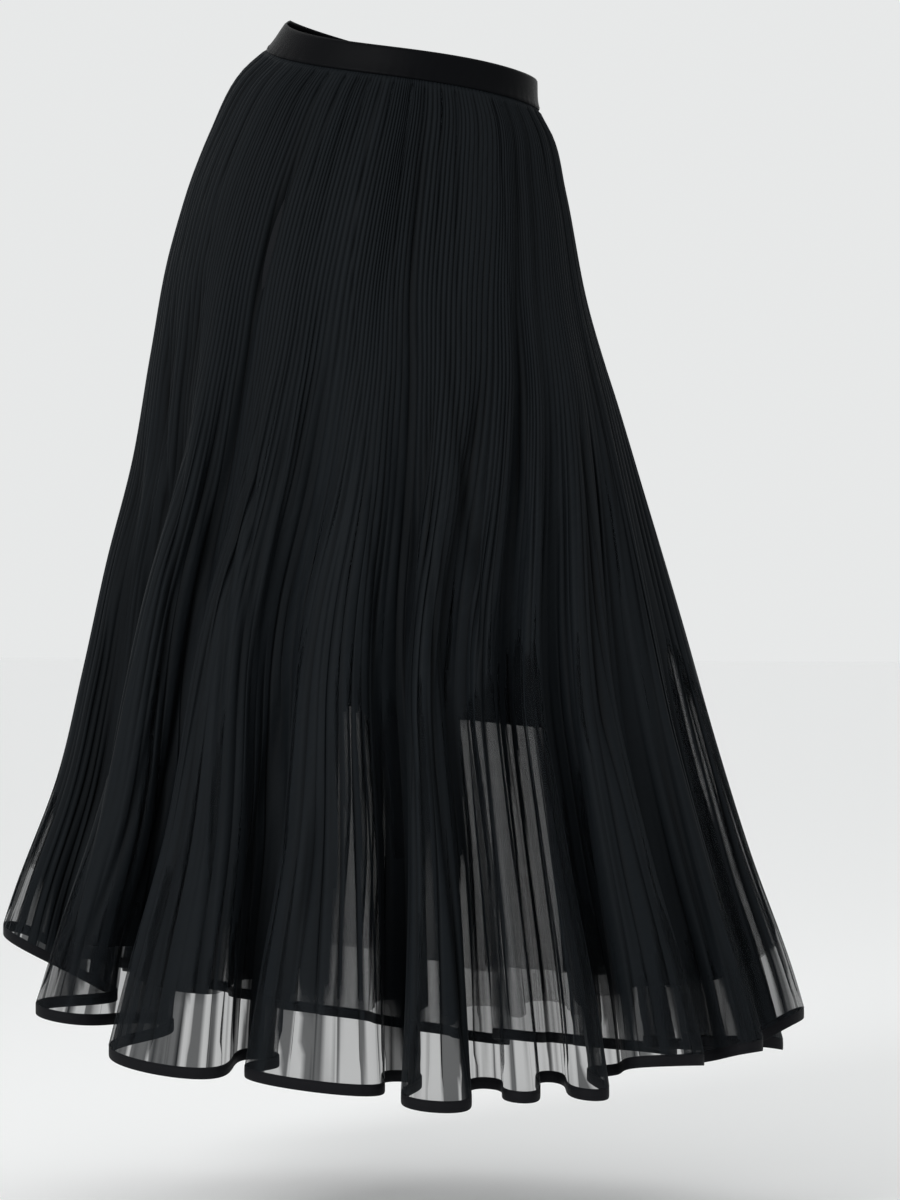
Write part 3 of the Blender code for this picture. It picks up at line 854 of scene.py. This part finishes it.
def tape_piece(panel):
    """The binding along a panel's hem: a flat tape with soft edges, a little thicker than the cloth."""
    columns = np.linspace(0.0, PLEATS, TAPE_COLUMNS_IN_A_PLEAT * PLEATS + 1)
    angles = np.interp(columns, np.arange(PLEATS + 1), pleat_angles(panel))
    points, out, _ = skirt_frame(angles[None, :], np.ones((1, 1)))
    middle = points[0] - out[0] * TAPE_DEPTH
    rows_out, rows_in = [], []
    for row in TAPE_PROFILE:
        level = middle - np.array([0.0, 0.0, row.drop])
        rows_out.append(level + out[0] * row.half)
        rows_in.append(level - out[0] * row.half)
    drops = np.array([row.drop for row in TAPE_PROFILE])
    return shell_object(f"hem_tape_{panel}_cloth", np.stack(rows_out), np.stack(rows_in), drops)


def ellipse_grid(rows, drops, angles):
    """Level sections of a table at the drops given, as a grid of points with their outward directions."""
    drop, angle = np.broadcast_arrays(np.asarray(drops)[:, None], np.radians(angles)[None, :])
    section = Section(drop, *at_drop(rows, drop))
    point, normal, _ = on_ellipse(section, angle)
    z = -drop + section.roll * point[..., 0] - section.pitch * point[..., 1]
    z = z + waist_lift(drop, point[..., 0], angle)
    flat = np.zeros(drop.shape)
    points = np.concatenate([point, z[..., None]], axis=-1)
    return points, np.concatenate([normal, flat[..., None]], axis=-1)


def lining_rows():
    """The lining's sections with a first one at the band, close inside the two sheer layers."""
    width, back, front, *rest = at_drop(SKIRT, np.array([BAND_DROP]))[:, 0]
    reaches = [reach - LINING_INSET for reach in (width, back, front)]
    return (Section(BAND_DROP, *reaches, *rest), *LINING)


def lining_piece(panel):
    """A lining panel, smooth over the hips and waving a little towards its turned-up hem."""
    rng = own_draws(f"lining_{panel}")
    angles = PANEL_START[panel] + np.linspace(0.0, 180.0, LINING_COLUMNS)
    angles[0] += SIDE_GAP
    angles[-1] -= SIDE_GAP
    drops = BAND_DROP + LINING_ROWS * (LINING[-1].drop - BAND_DROP)
    points, out = ellipse_grid(lining_rows(), drops, angles)
    sink = furrows(runs(points), LINING_ROWS, rng, LINING_FURROW_SPREAD)
    hem_step = HEM_STEP * eased((LINING_ROWS - HEM_LINE) / HEM_LINE_LENGTH)[:, None]
    outside = points - out * (sink + LINING_DEPTH - hem_step)[..., None]
    inside = outside - out * (LINING_WALL + 2 * hem_step)[..., None]
    return shell_object(f"lining_{panel}_cloth", outside, inside, drops)


def waistband_piece():
    """The satin band: a ring with rounded edges that swells a little between them."""
    rng = own_draws("waistband")
    angles = np.linspace(0.0, 360.0, BAND_COLUMNS + 1)[:-1]
    pull = np.zeros(BAND_COLUMNS)
    for wave in PUCKER_WAVES:
        strength, turn = rng.uniform(*PUCKER_STRENGTH), rng.uniform(*PUCKER_TURN)
        pull += strength * np.sin(wave * np.radians(angles) + turn)
    outside, inside, drops = [], [], []
    for share in np.linspace(0.0, 1.0, BAND_ROWS):
        drop = BAND_TOP_DROP + share * (BAND_DROP - BAND_CLEARANCE)
        edge = 1 - min(1.0, min(share, 1 - share) / ROUNDED_SHARE)
        rounding = EDGE_ROUNDING * edge**2
        puckered = PUCKER_DEPTH * pull * math.exp(-(1 - share) / PUCKER_REACH)
        points, out = ellipse_grid(SKIRT, [drop], angles)
        face = BAND_SWELL * math.sin(math.pi * share) - rounding - BAND_DEPTH
        outside.append(points[0] + out[0] * (face + puckered)[:, None])
        inside.append(points[0] - out[0] * (BAND_WALL - rounding))
        drops.append(drop)
    outside, inside = np.stack(outside), np.stack(inside)
    return shell_object("waistband_satin", outside, inside, np.array(drops), closed=True)


def toned(colour, share):
    """A colour with its alpha, made darker or lighter by a share."""
    return (*(c * share for c in colour), 1.0)


def cloth_material(cloth):
    """A woven cloth: crossed threads in its bump and long uneven streaks in its colour and gloss."""
    made = bpy.data.materials.new(cloth.name)
    made.use_nodes = True
    nodes, links = made.node_tree.nodes, made.node_tree.links
    shader = nodes["Principled BSDF"]
    shader.inputs["Sheen Weight"].default_value = cloth.sheen
    shader.inputs["Sheen Roughness"].default_value = SHEEN_ROUGHNESS
    shader.inputs["Sheen Tint"].default_value = SHEEN_TINT
    shader.inputs["Specular IOR Level"].default_value = cloth.gloss
    place = nodes.new("ShaderNodeUVMap")
    place.uv_map = "cloth"

    stretch = nodes.new("ShaderNodeMapping")
    stretch.inputs["Scale"].default_value = STREAK_SCALE
    links.new(place.outputs["UV"], stretch.inputs["Vector"])
    streak = nodes.new("ShaderNodeTexNoise")
    streak.inputs["Scale"].default_value = 1.0
    streak.inputs["Detail"].default_value = STREAK_DETAIL
    links.new(stretch.outputs["Vector"], streak.inputs["Vector"])
    tone = nodes.new("ShaderNodeMix")
    tone.data_type = "RGBA"
    tone.inputs["A"].default_value = toned(cloth.colour, 1 - cloth.streaks)
    tone.inputs["B"].default_value = toned(cloth.colour, 1 + cloth.streaks)
    links.new(streak.outputs["Fac"], tone.inputs["Factor"])
    colour_out = tone.outputs["Result"]
    if cloth.sheer:
        # Painted shade: the base colour is mixed towards a darker tone in grooves, by the piece's groove
        # attribute.
        groove = nodes.new("ShaderNodeAttribute")
        groove.attribute_name = "groove"
        painted_groove_shade = nodes.new("ShaderNodeMix")
        painted_groove_shade.data_type = "RGBA"
        painted_groove_shade.inputs["B"].default_value = toned(cloth.colour, GROOVE_PAINTED_SHADE)
        links.new(groove.outputs["Fac"], painted_groove_shade.inputs["Factor"])
        links.new(colour_out, painted_groove_shade.inputs["A"])
        colour_out = painted_groove_shade.outputs["Result"]
        cover = nodes.new("ShaderNodeAttribute")
        cover.attribute_name = "cover"
        links.new(cover.outputs["Fac"], shader.inputs["Alpha"])
    links.new(colour_out, shader.inputs["Base Color"])

    gloss_range = nodes.new("ShaderNodeMapRange")
    gloss_range.inputs["To Min"].default_value = cloth.roughness - ROUGHNESS_SWING
    gloss_range.inputs["To Max"].default_value = cloth.roughness + ROUGHNESS_SWING
    links.new(streak.outputs["Fac"], gloss_range.inputs["Value"])
    links.new(gloss_range.outputs["Result"], shader.inputs["Roughness"])

    weave = []
    for direction in ("X", "Y"):
        wave = nodes.new("ShaderNodeTexWave")
        wave.bands_direction = direction
        wave.inputs["Scale"].default_value = 1 / (math.pi * cloth.thread)
        wave.inputs["Distortion"].default_value = WEAVE_DISTORTION
        links.new(place.outputs["UV"], wave.inputs["Vector"])
        weave.append(wave)
    crossed = nodes.new("ShaderNodeMath")
    crossed.operation = "MULTIPLY"
    links.new(weave[0].outputs["Fac"], crossed.inputs[0])
    links.new(weave[1].outputs["Fac"], crossed.inputs[1])
    bump = nodes.new("ShaderNodeBump")
    bump.inputs["Strength"].default_value = cloth.relief
    bump.inputs["Distance"].default_value = WEAVE_DEPTH
    links.new(crossed.outputs[0], bump.inputs["Height"])
    links.new(bump.outputs["Normal"], shader.inputs["Normal"])
    return made


def finish_piece(piece, slot, node):
    """Gives a piece its cloth and lets it stand for its node."""
    piece.data.materials.append(materials[slot])
    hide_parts(node)
    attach(piece, "root")


def add_floor():
    """A wide pale floor."""
    half = FLOOR_SIZE / 2
    corners = [(-half, -half, 0.0), (half, -half, 0.0), (half, half, 0.0), (-half, half, 0.0)]
    plane = make_mesh("floor", corners, [[0, 1, 2, 3]])
    plane.location = (0.0, 0.0, FLOOR_LEVEL)
    paint = bpy.data.materials.new("floor_paint")
    paint.use_nodes = True
    shader = paint.node_tree.nodes["Principled BSDF"]
    shader.inputs["Base Color"].default_value = toned(FLOOR_COLOUR, 1.0)
    shader.inputs["Roughness"].default_value = FLOOR_ROUGHNESS
    plane.data.materials.append(paint)


def add_world():
    """The even light that comes from all round and shows behind the skirt."""
    world = bpy.data.worlds.new("studio")
    world.use_nodes = True
    world.node_tree.nodes["Background"].inputs["Color"].default_value = toned(WALL_COLOUR, 1.0)
    bpy.context.scene.world = world


def add_camera(to_camera, to_right, up):
    """A level camera behind the skirt, a little to the wearer's right."""
    data = bpy.data.cameras.new("camera")
    data.lens = LENS
    data.sensor_width = SENSOR_WIDTH
    camera = bpy.data.objects.new("camera", data)
    camera.location = to_camera * CAMERA_DISTANCE + to_right * CAMERA_ASIDE + up * CAMERA_LEVEL
    camera.rotation_euler = (-to_camera).to_track_quat("-Z", "Y").to_euler()
    bpy.context.scene.collection.objects.link(camera)
    bpy.context.scene.camera = camera


def add_light(light, location):
    """A round area light that faces the skirt's middle."""
    data = bpy.data.lights.new(light.name, "AREA")
    data.spread = math.radians(light.spread)
    data.shape = "DISK"
    data.size = light.size
    data.energy = light.power
    made = bpy.data.objects.new(light.name, data)
    made.location = location
    towards = Vector((0.0, 0.0, LIT_LEVEL)) - location
    made.rotation_euler = towards.to_track_quat("-Z", "Y").to_euler()
    bpy.context.scene.collection.objects.link(made)


materials = {slot: cloth_material(cloth) for slot, cloth in CLOTHS.items()}

for side in ("back", "front"):
    outer = outer_sheet(side)
    finish_piece(outer, "sheer_mesh", f"outer_{side}")
    binding = tape_piece(side)
    finish_piece(binding, "hem_tape", f"hem_tape_{side}")
    inner = inner_sheet(side)
    finish_piece(inner, "inner_sheer", f"inner_{side}")
    under = lining_piece(side)
    finish_piece(under, "lining_cloth", f"lining_{side}")

band = waistband_piece()
finish_piece(band, "satin", "waistband")

add_floor()
add_world()
bpy.context.scene.view_settings.view_transform = "Standard"

turn = math.radians(CAMERA_TURN)
to_camera = Vector((math.sin(turn), -math.cos(turn), 0.0))
to_right = Vector((math.cos(turn), math.sin(turn), 0.0))
up = Vector((0.0, 0.0, 1.0))
add_camera(to_camera, to_right, up)
for light in LIGHTS:
    add_light(light, to_camera * light.near + to_right * light.right + up * light.up)
